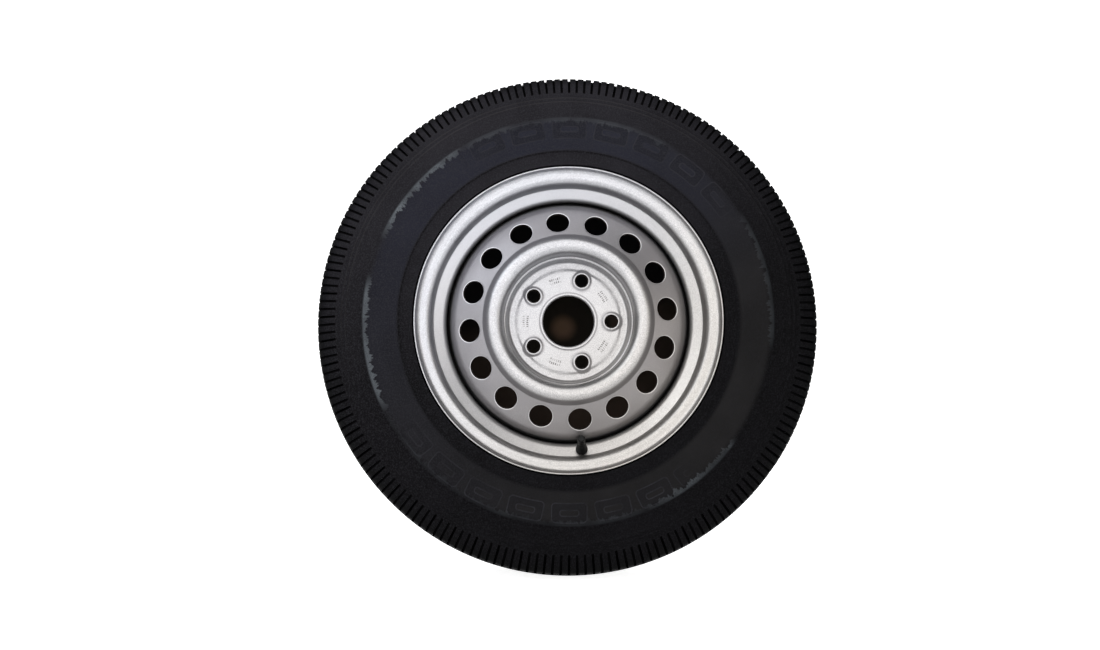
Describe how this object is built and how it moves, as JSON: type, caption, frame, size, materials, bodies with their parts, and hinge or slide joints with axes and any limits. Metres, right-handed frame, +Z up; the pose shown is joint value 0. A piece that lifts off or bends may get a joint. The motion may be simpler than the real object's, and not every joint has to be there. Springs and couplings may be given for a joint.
{
  "type": "trailer wheel",
  "caption": "Pressed-steel trailer wheel with a ring of round vents, a van tyre mounted on it, and a snap-in rubber valve with a screw cap.",
  "frame": {"origin": "the wheel's centre: on the spin axis, midway between the rim's two flanges", "axes": "+Y along the spin axis, pointing inboard; +Z up; the dished outer face looks along -Y"},
  "size_m": [0.6499, 0.188, 0.65],
  "materials": {
    "tyre_rubber": "moulded, lightly scuffed",
    "rim_paint": "silver lacquer, satin",
    "disc_paint": "silver lacquer, satin",
    "weld_paint": "silver lacquer over a rough bead",
    "valve_rubber": "smooth, dusty",
    "stem_brass": "turned",
    "core_brass": "turned",
    "seal_rubber": "matt",
    "spring_steel": "drawn wire",
    "cap_plastic": "moulded, fluted"
  },
  "bodies": {
    "wheel": {"tyre": "tyre_rubber", "rim": "rim_paint", "wheel_disc": "disc_paint", "disc_welds": "weld_paint", "valve_body": "valve_rubber", "valve_stem": "stem_brass", "core_plug": "core_brass", "core_barrel": "core_brass", "core_barrel_seal": "seal_rubber", "core_spring": "spring_steel"},
    "core_pin": {"core_pin": "core_brass", "core_cup_seal": "seal_rubber"},
    "cap_washer": {"cap_seal": "seal_rubber"},
    "cap": {"valve_cap": "cap_plastic"}
  },
  "joints": [
    {"name": "cap_turn", "type": "hinge", "parent": "cap_washer", "child": "cap", "pos_m": [0.01532, -0.07229, -0.15078], "axis": [-0.0474, -0.8829, 0.4671], "range_deg": [0, 2700]},
    {"name": "cap_lift", "type": "slide", "parent": "wheel", "child": "cap_washer", "axis": [-0.0474, -0.8829, 0.4671], "range_m": [0, 0.00595]},
    {"name": "pin_press", "type": "slide", "parent": "wheel", "child": "core_pin", "axis": [0.0474, 0.8829, -0.4671], "range_m": [0, 0.0013], "stiffness_N_per_m": 1500, "springref_m": -0.002, "deforming": ["core_spring"]}
  ],
  "couplings": [
    {"joint": "cap_turn", "follows": "cap_lift", "rad_per_m": 7915.8}
  ]
}
